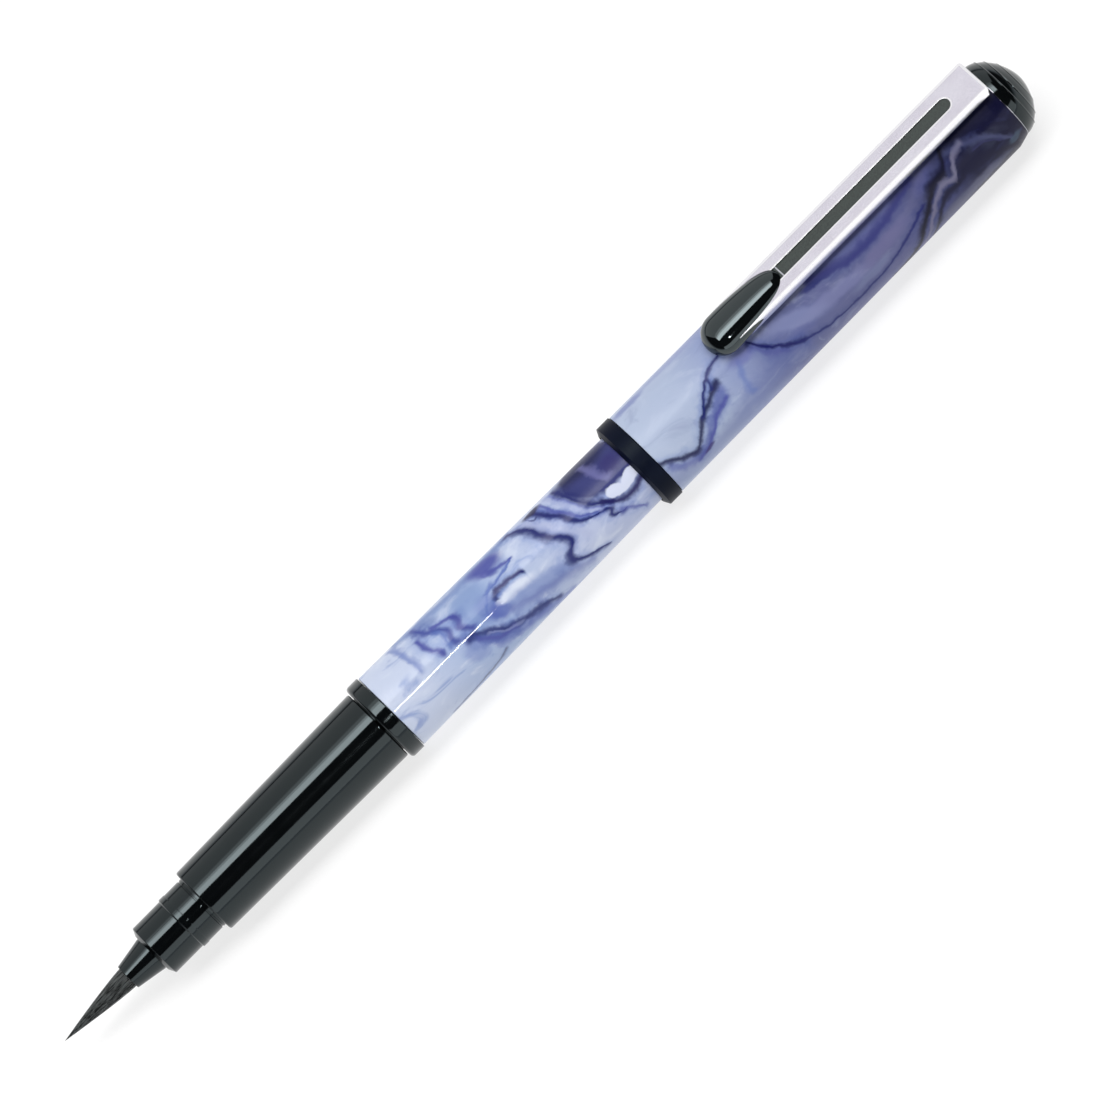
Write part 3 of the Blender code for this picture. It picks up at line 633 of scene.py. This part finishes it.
def make_cap(film, satin, gloss, chrome):
    front, _, radius = span("cap_tube")
    mouth, lip_rear, lip_radius = (lip_low.x - TIP) / MM, 97.05, (lip_high.z - lip_low.z) / 2 / MM
    bore, shoulder, plug_bore, lip_bore, lip_skirt = 5.72, 123.0, 5.06, 5.28, 99.6
    fit(turned("cap", [(front, radius, 0.05), (125.0, 6.01), (154.2, 5.87, 1.5), (CAP_REAR, 5.42, 0.12)],
               [(front, bore), (shoulder, bore), (shoulder, bore - 0.2), (152.6, bore - 0.22),
                (153.3, plug_bore), (CAP_REAR, plug_bore)]),
        "cap", "marble", film, "cap_tube")
    fit(turned("cap_lip", [(mouth, 5.42, 0.1), (mouth + 0.42, lip_radius, 0.1), (lip_rear, lip_radius, 0.06),
                           (lip_rear, 5.5), (lip_skirt, 5.5)],
               [(mouth, lip_bore, 0.06), (lip_skirt, lip_bore)]),
        "cap", "black_satin", satin, "cap_lip_ring")
    sleeve_front, sleeve_rear, sleeve_radius = span("cap_grip_sleeve")
    fit(turned("cap_sleeve", [(sleeve_front, sleeve_radius), (sleeve_rear, sleeve_radius)],
               [(sleeve_front, 5.2, 0.1), (sleeve_rear, 5.02)]),
        "cap", "black_satin", satin, "cap_grip_sleeve")
    cup_front, cup_rear, cup_radius = span("inner_cap")
    groove, hollow, floor = 4.75, 3.95, 1.6
    fit(turned("inner_cap_cup", [(cup_front, cup_radius, 0.2), (cup_front + 2.2, cup_radius),
                                 (cup_front + 2.5, groove), (cup_rear - 3.4, groove),
                                 (cup_rear - 3.1, cup_radius), (cup_rear, cup_radius), (cup_rear, 0.0),
                                 (cup_rear - floor, 0.0),
                                 (cup_rear - floor, hollow), (cup_front + 1.0, hollow, 0.4),
                                 (cup_front, 4.3, 0.1), (cup_front, cup_radius - 0.4)], sharp=35.0),
        "cap", "black_satin", satin, "inner_cap")
    make_dome(gloss)
    ring_front, ring_rear, ring_radius, ring_bore = CAP_REAR + 0.02, DOME_FRONT - 0.02, 5.40, 3.2
    fit(turned("chrome_ring", [(ring_front, ring_radius, 0.04), (ring_rear, ring_radius, 0.04)],
               [(ring_front, ring_bore), (ring_rear, ring_bore)]),
        "cap", "chrome", chrome, "clip_ring")
    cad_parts["cap_top_plug"].data.materials[0] = satin


def make_dome(gloss):
    """A full dome that steps in a little at each of three fine ribs."""
    front, rear, radius = DOME_FRONT, LENGTH, 5.4
    height, fullness = rear - front, 1.75
    ribs, step = (0.34, 0.56, 0.78), 0.09

    def radius_at(share):
        """The dome's curve, drawn out under each rib, rolled over it as a bead and set back behind it."""
        lift = 0.0
        for low, rib in zip((0.0,) + ribs, ribs):
            lift += step * min(1.0, max(0.0, (share - low) / (rib - low))) - step * (share > rib + 0.015)
            lift += 0.08 * math.exp(-((share - rib) / 0.014) ** 2)
        return radius * (1 - share**fullness) ** (1 / fullness) + lift

    shares = [i / 48 for i in range(48)] + [0.985, 0.992, 0.997]
    shares += [rib + i * 0.004 for rib in ribs for i in range(-7, 8)]
    outline = [(152.9, 0.0), (152.9, 1.5), (front, 1.5), (front, radius - 0.06)]
    for share in sorted(shares):
        outline.append((front + height * share, radius_at(share)))
    outline.append((rear, 0.0))
    fit(turned("cap_dome", outline, sharp=28.0), "cap", "black_gloss", gloss, "finial_dome")


# ------------------------ the section

def helix_ridge(name, front, rear, root, crest, pitch, steps=64):
    """A right-handed screw ridge round the axis between two stations."""
    shape = bmesh.new()
    turns = (rear - front) / pitch
    count = int(turns * steps)
    rows = []
    for i in range(count + 1):
        angle = 2 * math.pi * i / steps
        middle = front + pitch * i / steps
        fade = min(1.0, 4 * i / steps, 4 * (count - i) / steps)
        peak = root + (crest - root) * max(fade, 0.02)
        half, flat = pitch * 0.32, pitch * 0.10
        section = ((middle - half, root - 0.1), (middle - flat, peak), (middle + flat, peak),
                   (middle + half, root - 0.1))
        c, n = math.cos(angle), math.sin(angle)
        rows.append([shape.verts.new(at(s, -r * n, r * c) / MM) for s, r in section])
    skin(shape, rows)
    shape.faces.new(rows[0])
    shape.faces.new(list(reversed(rows[-1])))
    return shrunk_object(name, shape, 30.0)


def make_section(gloss, ink):
    front, rear, _ = span("grip_section")
    shoulder, spigot, root = 52.35, 4.13, 3.78
    fit(turned("grip", [(front, 4.60, 0.28), (shoulder, 5.01, 0.22), (shoulder, spigot, 0.05),
                        (53.6, spigot, 0.1), (53.9, root, 0.1), (rear, root, 0.25)],
               [(front, 3.9, 0.05), (30.0, 3.9), (30.0, 3.3), (51.8, 3.3), (51.8, 2.8), (rear, 2.8, 0.1)]),
        "section", "black_gloss", gloss, "grip_section")
    thread = helix_ridge("grip_thread", 54.4, rear - 0.8, root, spigot, THREAD_PITCH)
    fit(thread, "section", "black_gloss", gloss)
    collar_front, collar_rear, collar_radius = span("section_collar")
    fit(turned("collar", [(collar_front, collar_radius, 0.5), (collar_rear, collar_radius, 0.07)],
               [(collar_front, 4.25, 0.05), (collar_rear, 4.25, 0.05)]),
        "collar", "black_gloss", gloss, "section_collar")
    nose_front, nose_rear, nose_radius = span("nose_sleeve")
    tip, body, groove = 3.65, 3.77, 3.68
    fit(turned("nose", [(nose_front, 2.78, 0.15), (nose_front + 0.42, tip, 0.14), (19.35, tip, 0.05),
                        (19.5, nose_radius, 0.12), (20.25, nose_radius, 0.12), (20.4, body, 0.05),
                        (22.55, body, 0.05), (22.6, groove, 0.03), (22.75, groove, 0.03), (22.8, body),
                        (nose_rear, body)],
               [(nose_front, 2.48, 0.05), (nose_rear, 2.48)]),
        "section", "black_gloss", gloss, "nose_sleeve")
    mouth, ferrule_rear, ferrule_radius = span("brush_ferrule")
    fit(turned("ferrule", [(mouth, 1.72, 0.08), (13.2, 2.17, 0.6), (14.35, ferrule_radius, 0.1),
                           (ferrule_rear, ferrule_radius)],
               [(mouth, 1.53, 0.06), (17.0, 1.5), (17.0, 1.9), (ferrule_rear, 1.9)]),
        "section", "black_gloss", gloss, "brush_ferrule")
    for node in ("ink_collector", "piercing_tube"):
        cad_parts[node].data.materials[0] = ink


def tuft_radius(station, mouth, full):
    return full * (1 - (1 - max(0.0, station) / mouth) ** 1.27)


def make_tuft(bristle):
    """Hundreds of tapered bristles round a dark core, drawn together to a point."""
    mouth, full, root = 10.55, 1.38, 11.9
    random.seed(7)
    shape = bmesh.new()
    sides, joints = 5, 13
    golden = math.pi * (3 - math.sqrt(5))
    count = 460
    for i in range(count):
        share = math.sqrt((i + 0.5) / count)
        angle = i * golden + random.uniform(-0.05, 0.05)
        layer = 0.42 + 0.58 * share
        end = random.uniform(0.0, 1.0) ** 2.2 * 4.5
        stray = random.gauss(0, 0.012)
        swirl = random.gauss(0, 0.05)
        thick = random.uniform(0.042, 0.064)
        lift = 1.0 + (random.uniform(0.01, 0.035) if i % 23 == 0 else 0.0)
        rows = []
        for k in range(joints):
            f = k / (joints - 1)
            station = root + (end - root) * f
            envelope = tuft_radius(min(station, mouth), mouth, full) * layer * lift
            turn = angle + swirl * f + stray * math.sin(3 * f)
            y, z = envelope * math.sin(turn), envelope * math.cos(turn)
            size = thick * (1 - 0.82 * f**1.5)
            rows.append([shape.verts.new(at(station, y + size * n, z + size * c)) for c, n in circle(sides)])
        for here, there in zip(rows, rows[1:]):
            for j in range(sides):
                n = (j + 1) % sides
                shape.faces.new((here[j], there[j], there[n], here[n]))
        shape.faces.new(rows[0])
        shape.faces.new(list(reversed(rows[-1])))
    tuft = plain_object("tuft_bristles", shape, 60.0)
    core_stations = [mouth * (k / 24) ** 1.2 for k in range(25)]
    core = turned("tuft_core", [(s, 0.93 * tuft_radius(s, mouth, full)) for s in core_stations] +
                  [(root, 0.93 * full), (root, 0.0)], sides=48)
    for piece in (tuft, core):
        piece.data.materials.clear()
        piece.data.materials.append(bristle)
        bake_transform(piece)
        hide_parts("brush_tuft")
    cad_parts["tuft_root"].data.materials[0] = bristle


# ------------------------ the cartridge

def make_cartridge(plastic, ink, rubber, steel, felt):
    front, rear, radius = span("ink_cartridge")
    neck, neck_bore, wall = 2.6, 1.95, 1.2
    fit(turned("cartridge", [(front, neck, 0.2), (62.0, neck, 0.3), (63.1, radius, 0.5), (rear, radius, 1.2),
                             (rear, 0.0), (rear - wall, 0.0), (rear - wall, 3.1, 0.6), (65.2, 3.1, 0.3),
                             (64.0, neck_bore, 0.3), (front, neck_bore, 0.1), (front, 2.3)]),
        "cartridge", "clear_plastic", plastic, "ink_cartridge")
    ink_front, ink_rear, ink_radius = 75.0, 104.0, 2.98
    column = [(ink_front, 0.0), (ink_front, ink_radius, 0.5), (ink_rear, ink_radius, 0.2), (ink_rear, 0.0)]
    fit(turned("ink_in_cartridge", column), "cartridge", "ink_plastic", ink)
    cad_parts["cartridge_seal"].data.materials[0] = rubber
    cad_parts["stopper_ball"].data.materials[0] = steel
    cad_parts["feed_wick"].data.materials[0] = felt


# ------------------------ the clip

def prism(name, outline, low, high):
    """An outline of (station, y) points stood up between two heights, as a closed mesh."""
    shape = bmesh.new()
    face = shape.faces.new([shape.verts.new(at(s, y, low)) for s, y in outline])
    if face.calc_area() and face.normal.z > 0:
        face.normal_flip()
    top = bmesh.ops.extrude_face_region(shape, geom=[face])["geom"]
    raised = [part for part in top if isinstance(part, bmesh.types.BMVert)]
    bmesh.ops.translate(shape, vec=(0, 0, (high - low) * MM), verts=raised)
    shape.normal_update()
    return plain_object(name, shape)


def carve(piece, tool, operation):
    """Joins or cuts a piece with a tool and leaves nothing of the tool behind."""
    modifier = piece.modifiers.new(tool.name, "BOOLEAN")
    modifier.operation, modifier.solver, modifier.object = operation, "EXACT", tool
    apply_modifiers(piece)
    bpy.data.objects.remove(tool)


def apply_modifiers(piece):
    bpy.context.view_layer.update()
    evaluated = piece.evaluated_get(bpy.context.evaluated_depsgraph_get())
    mesh = bpy.data.meshes.new_from_object(evaluated)
    piece.modifiers.clear()
    piece.data = mesh


def stadium(front, rear, half, steps=20):
    outline = []
    for centre, turn in ((rear - half, -90), (front + half, 90)):
        for i in range(steps + 1):
            angle = math.radians(turn + 180 * i / steps)
            outline.append((centre + half * math.cos(angle), half * math.sin(angle)))
    return outline


def ball_half_width(station):
    if station <= BALL_WIDEST:
        lead = (BALL_WIDEST - station) / (BALL_WIDEST - BALL_FRONT)
        return BALL_HALF_WIDTH * max(0.0, 1 - lead**2.1) ** 0.47
    tail = (station - BALL_WIDEST) / (BALL_REAR - BALL_WIDEST)
    return BALL_HALF_WIDTH * (1 - 0.42 * tail**1.9) * math.sqrt(max(0.0, 1 - tail**10))


def ball_shape(name, extra=0.0):
    """The teardrop at the clip's free end, high above and shallow below, and larger all round by extra."""
    shape = bmesh.new()
    around, along = 96, 72
    rows = []
    for k in range(along + 1):
        share = (1 - math.cos(math.pi * k / along)) / 2
        width = ball_half_width(BALL_FRONT + (BALL_REAR - BALL_FRONT) * share)
        station = BALL_FRONT - extra + (BALL_REAR - BALL_FRONT + 2 * extra) * share
        plump = (width / BALL_HALF_WIDTH) ** 1.2
        middle = BALL_MIDDLE + 0.55 * share
        if k in (0, along):
            rows.append([shape.verts.new(at(station, 0.0, middle) / MM)])
            continue
        ring = []
        for c, s in circle(around):
            height = (BALL_CROWN if s > 0 else BALL_FOOT) * plump + extra
            ring.append(shape.verts.new(at(station, (width + extra) * c, middle + height * s) / MM))
        rows.append(ring)
    skin(shape, rows)
    return shrunk_object(name, shape, 60.0)


def weigh_edges(mesh, top, half):
    """Marks how far each edge is rounded: most on the clip's outer edges, half as much round the slot."""
    weights = mesh.attributes.new("bevel_weight_edge", "FLOAT", "EDGE")
    shape = bmesh.new()
    shape.from_mesh(mesh)
    for edge, weight in zip(shape.edges, weights.data):
        if len(edge.link_faces) != 2 or edge.calc_face_angle() < math.radians(35):
            continue
        on_face = all(abs(v.co.z - top) < 0.01 * MM for v in edge.verts)
        outside = all(abs(abs(v.co.y) - half) < 0.6 * MM for v in edge.verts)
        weight.value = 1.0 if on_face and outside else 0.45 if on_face else 0.2
    shape.free()


def make_clip(chrome, bright, strip, polished):
    half, face, sheet, depth = CLIP_HALF, 8.06, 0.45, 1.4
    front, rear, corner = CLIP_FRONT, CLIP_REAR, 0.4
    plan = [(front, -half + 0.5), (front + 0.9, -half + 0.12), (front + 2.0, -half), (rear - corner, -half)]
    for degrees in range(15, 91, 15):
        c, n = math.cos(math.radians(degrees)), math.sin(math.radians(degrees))
        plan.append((rear - corner + corner * n, -half + corner - corner * c))
    plan += [(s, -y) for s, y in reversed(plan)]
    shell = prism("clip", plan, face - depth, face)
    bend = rear - 0.6
    inside = half - sheet
    hollow = [(front - 1, -inside), (bend, -inside), (bend, inside), (front - 1, inside)]
    carve(shell, prism("hollow", hollow, face - depth - 1, face - sheet), "DIFFERENCE")
    tab = [(bend, -2.1), (rear, -1.9), (rear, 1.9), (bend, 2.1)]
    carve(shell, prism("tab", tab, 5.76, face - sheet - 0.2), "UNION")
    slot = [(SLOT_REAR - SLOT_HALF, -SLOT_HALF)] + stadium(SLOT_FRONT, SLOT_REAR, SLOT_HALF)[1:20]
    slot += [(SLOT_REAR - SLOT_HALF, SLOT_HALF), (SLOT_FRONT - 1.5, SLOT_HALF),
             (SLOT_FRONT - 1.5, -SLOT_HALF)]
    carve(shell, prism("slot", slot, face - sheet - 0.5, face + 0.5), "DIFFERENCE")
    round_edges = shell.modifiers.new("Round edges", "BEVEL")
    round_edges.width, round_edges.segments, round_edges.limit_method = 0.36 * MM, 4, "WEIGHT"
    weigh_edges(shell.data, AXIS + face * MM, half * MM)
    apply_modifiers(shell)
    carve(shell, ball_shape("seat", 0.03), "DIFFERENCE")
    shell.data.shade_smooth()
    shell.data.set_sharp_from_angle(angle=math.radians(32))
    flat_faces = shell.modifiers.new("Keep the faces flat", "WEIGHTED_NORMAL")
    flat_faces.mode, flat_faces.weight, flat_faces.keep_sharp = "FACE_AREA", 100, True
    apply_modifiers(shell)
    fit(shell, "clip", "chrome", chrome, "clip_shell")
    strip_plan = [(s, y * 0.93) for s, y in slot[:-2]]
    strip_plan += [(SLOT_FRONT - 1.4, 0.82), (SLOT_FRONT - 1.4, -0.82)]
    inlay = prism("clip_strip", strip_plan, 7.15, face - 0.12)
    fit(inlay, "clip", "black_satin", strip, "clip_inlay")
    bar_front, bar_rear, bar_half = SLOT_FRONT - 0.2, SLOT_FRONT - 0.03, 0.9
    bar = [(bar_front, -bar_half), (bar_rear, -bar_half), (bar_rear, bar_half), (bar_front, bar_half)]
    bridge = prism("clip_bridge", bar, face - 0.4, face - 0.02)
    fit(bridge, "clip", "chrome", bright)
    fit(ball_shape("clip_teardrop"), "clip", "black_gloss", polished, "clip_ball")


# ------------------------ the studio

def from_zenith(angle):
    """A direction that many degrees from straight up towards +Y."""
    return Vector((0.0, math.sin(math.radians(angle)), math.cos(math.radians(angle))))


def softbox(name, low, high, radiance, length=1.5, station=80.0, distance=0.7):
    """A light along the pen, between two angles from straight up towards +Y, centred over a station."""
    light = bpy.data.lights.new(name, "AREA")
    light.shape = "RECTANGLE"
    light.size = length
    light.size_y = 2 * distance * math.tan(math.radians(high - low) / 2)
    light.energy = radiance * math.pi * light.size * light.size_y
    lamp = placed(name, light)
    direction = from_zenith((low + high) / 2)
    lamp.location = at(station) + direction * distance
    lamp.rotation_mode = "QUATERNION"
    side = Vector((1.0, 0.0, 0.0))
    up = direction.cross(side).normalized()
    side = up.cross(direction)
    lamp.rotation_quaternion = Matrix((side, up, direction)).transposed().to_quaternion()


def make_studio():
    scene = bpy.context.scene
    scene.view_settings.view_transform = "Standard"
    world = bpy.data.worlds.new("studio")
    scene.world = world
    world.use_nodes = True
    background = world.node_tree.nodes["Background"]
    background.inputs["Color"].default_value = (0.90, 0.94, 1.0, 1.0)
    tree = world.node_tree
    direction = tree.nodes.new("ShaderNodeTexCoord").outputs["Generated"]
    split = tree.nodes.new("ShaderNodeSeparateXYZ")
    tree.links.new(direction, split.inputs[0])
    horizon = tree.nodes.new("ShaderNodeMapRange")
    for key, value in (("From Min", 0.04), ("From Max", 0.16), ("To Min", 0.9), ("To Max", 0.025)):
        horizon.inputs[key].default_value = value
    tree.links.new(split.outputs[2], horizon.inputs["Value"])
    tree.links.new(horizon.outputs[0], background.inputs["Strength"])
    softbox("overhead", -11, 4, 6.6, 1.1, 40.0)
    softbox("overhead edge", 4, 10, 4.0, 1.1, 40.0)
    softbox("overhead fall", 10, 19, 1.7, 1.1, 40.0)
    softbox("far side", 19, 78, 0.86)
    softbox("near side", -84, -60, 1.5)
    softbox("streak", -37.6, -34.4, 120.0, 0.026, 90.6)
    mesh = bpy.data.meshes.new("floor")
    shape = bmesh.new()
    bmesh.ops.create_circle(shape, cap_ends=True, segments=96, radius=6.0)
    shape.to_mesh(mesh)
    shape.free()
    floor = placed("floor", mesh)
    m = Nodes("white table")
    grain = m.noise(m.place(), 0.002, 3.0, 0.5)
    m.set(Base_Color=m.mix(grain, (0.26, 0.26, 0.26, 1), (0.29, 0.29, 0.29, 1)), Roughness=0.9,
          Emission_Color=(1, 1, 1, 1), Emission_Strength=0.74)
    m.set(Specular_IOR_Level=0.0)
    floor.data.materials.append(m.material)


def make_camera():
    """A long lens above the clip, a little towards the brush, rolled so that the pen runs up to the right."""
    distance, frame_width, roll, tilt = 1.2, 0.12960, math.radians(45.28), math.radians(2.0)
    camera = bpy.data.cameras.new("camera")
    camera.sensor_width = 36.0
    camera.lens = camera.sensor_width * distance / frame_width
    camera.clip_start, camera.clip_end = 0.05, 20.0
    holder = placed("camera", camera)
    level = math.cos(tilt)
    back = Vector((-math.sin(tilt), -math.sin(VIEW_TILT) * level, math.cos(VIEW_TILT) * level))
    along = (Vector((1, 0, 0)) - back * back.x).normalized()
    up = back.cross(along)
    right_way = along * math.cos(roll) - up * math.sin(roll)
    up_way = along * math.sin(roll) + up * math.cos(roll)
    aim = at(LENGTH / 2 + 1.2) + up * 0.0001
    holder.rotation_mode = "QUATERNION"
    holder.rotation_quaternion = Matrix((right_way, up_way, back)).transposed().to_quaternion()
    holder.location = aim + back * distance
    bpy.context.scene.camera = holder


make_camera()
make_studio()
gloss = moulded("black gloss plastic", (4, 5, 6), 0.07)
satin = moulded("blue-black satin plastic", (4, 8, 24), 0.38, specular=0.08)
ink_black = moulded("ink black plastic", (22, 23, 28), 0.3)
rubber = moulded("seal rubber", (26, 26, 27), 0.75, grain=0.2)
chrome = satin_chrome("pearl chrome")
bright = grained("polished chrome", (1.5, 3.0, 0.6), None, (186, 188, 196), (204, 205, 212),
                 (0.3, 0.7, 0.07, 0.12), Metallic=1.0)
bristles = grained("bristles", (2.2, 2.0, 0.6), (0.35, 0.72), (18, 20, 20), (84, 88, 88),
                   (0.3, 0.7, 0.22, 0.4), stretch=(0.12, 3.0, 3.0), Specular_IOR_Level=0.7)
clear = grained("cartridge plastic", (0.12, 2.0, 0.5), (0.2, 0.8), (222, 227, 232), (230, 234, 238),
                (0.2, 0.8, 0.10, 0.14), IOR=1.49, Transmission_Weight=0.75)
steel = grained("ball steel", (5.0, 3.0, 0.6), None, (178, 180, 184), (206, 208, 212),
                (0.3, 0.7, 0.12, 0.25), Metallic=1.0)
strip = grained("grained strip", (9.0, 3.0, 0.8), (0.35, 0.7), (20, 27, 26), (58, 68, 64),
                (0.3, 0.7, 0.45, 0.7), 0.03)
make_barrel(barrel_marble(), satin)
make_cap(cap_marble(), satin, gloss, bright)
make_section(gloss, ink_black)
make_tuft(bristles)
make_cartridge(clear, moulded("ink", (6, 6, 9), 0.12), rubber, steel, felt_material("wick felt"))
polished = moulded("polished black plastic", (4, 5, 6), 0.05, specular=0.85)
make_clip(chrome, bright, strip, polished)
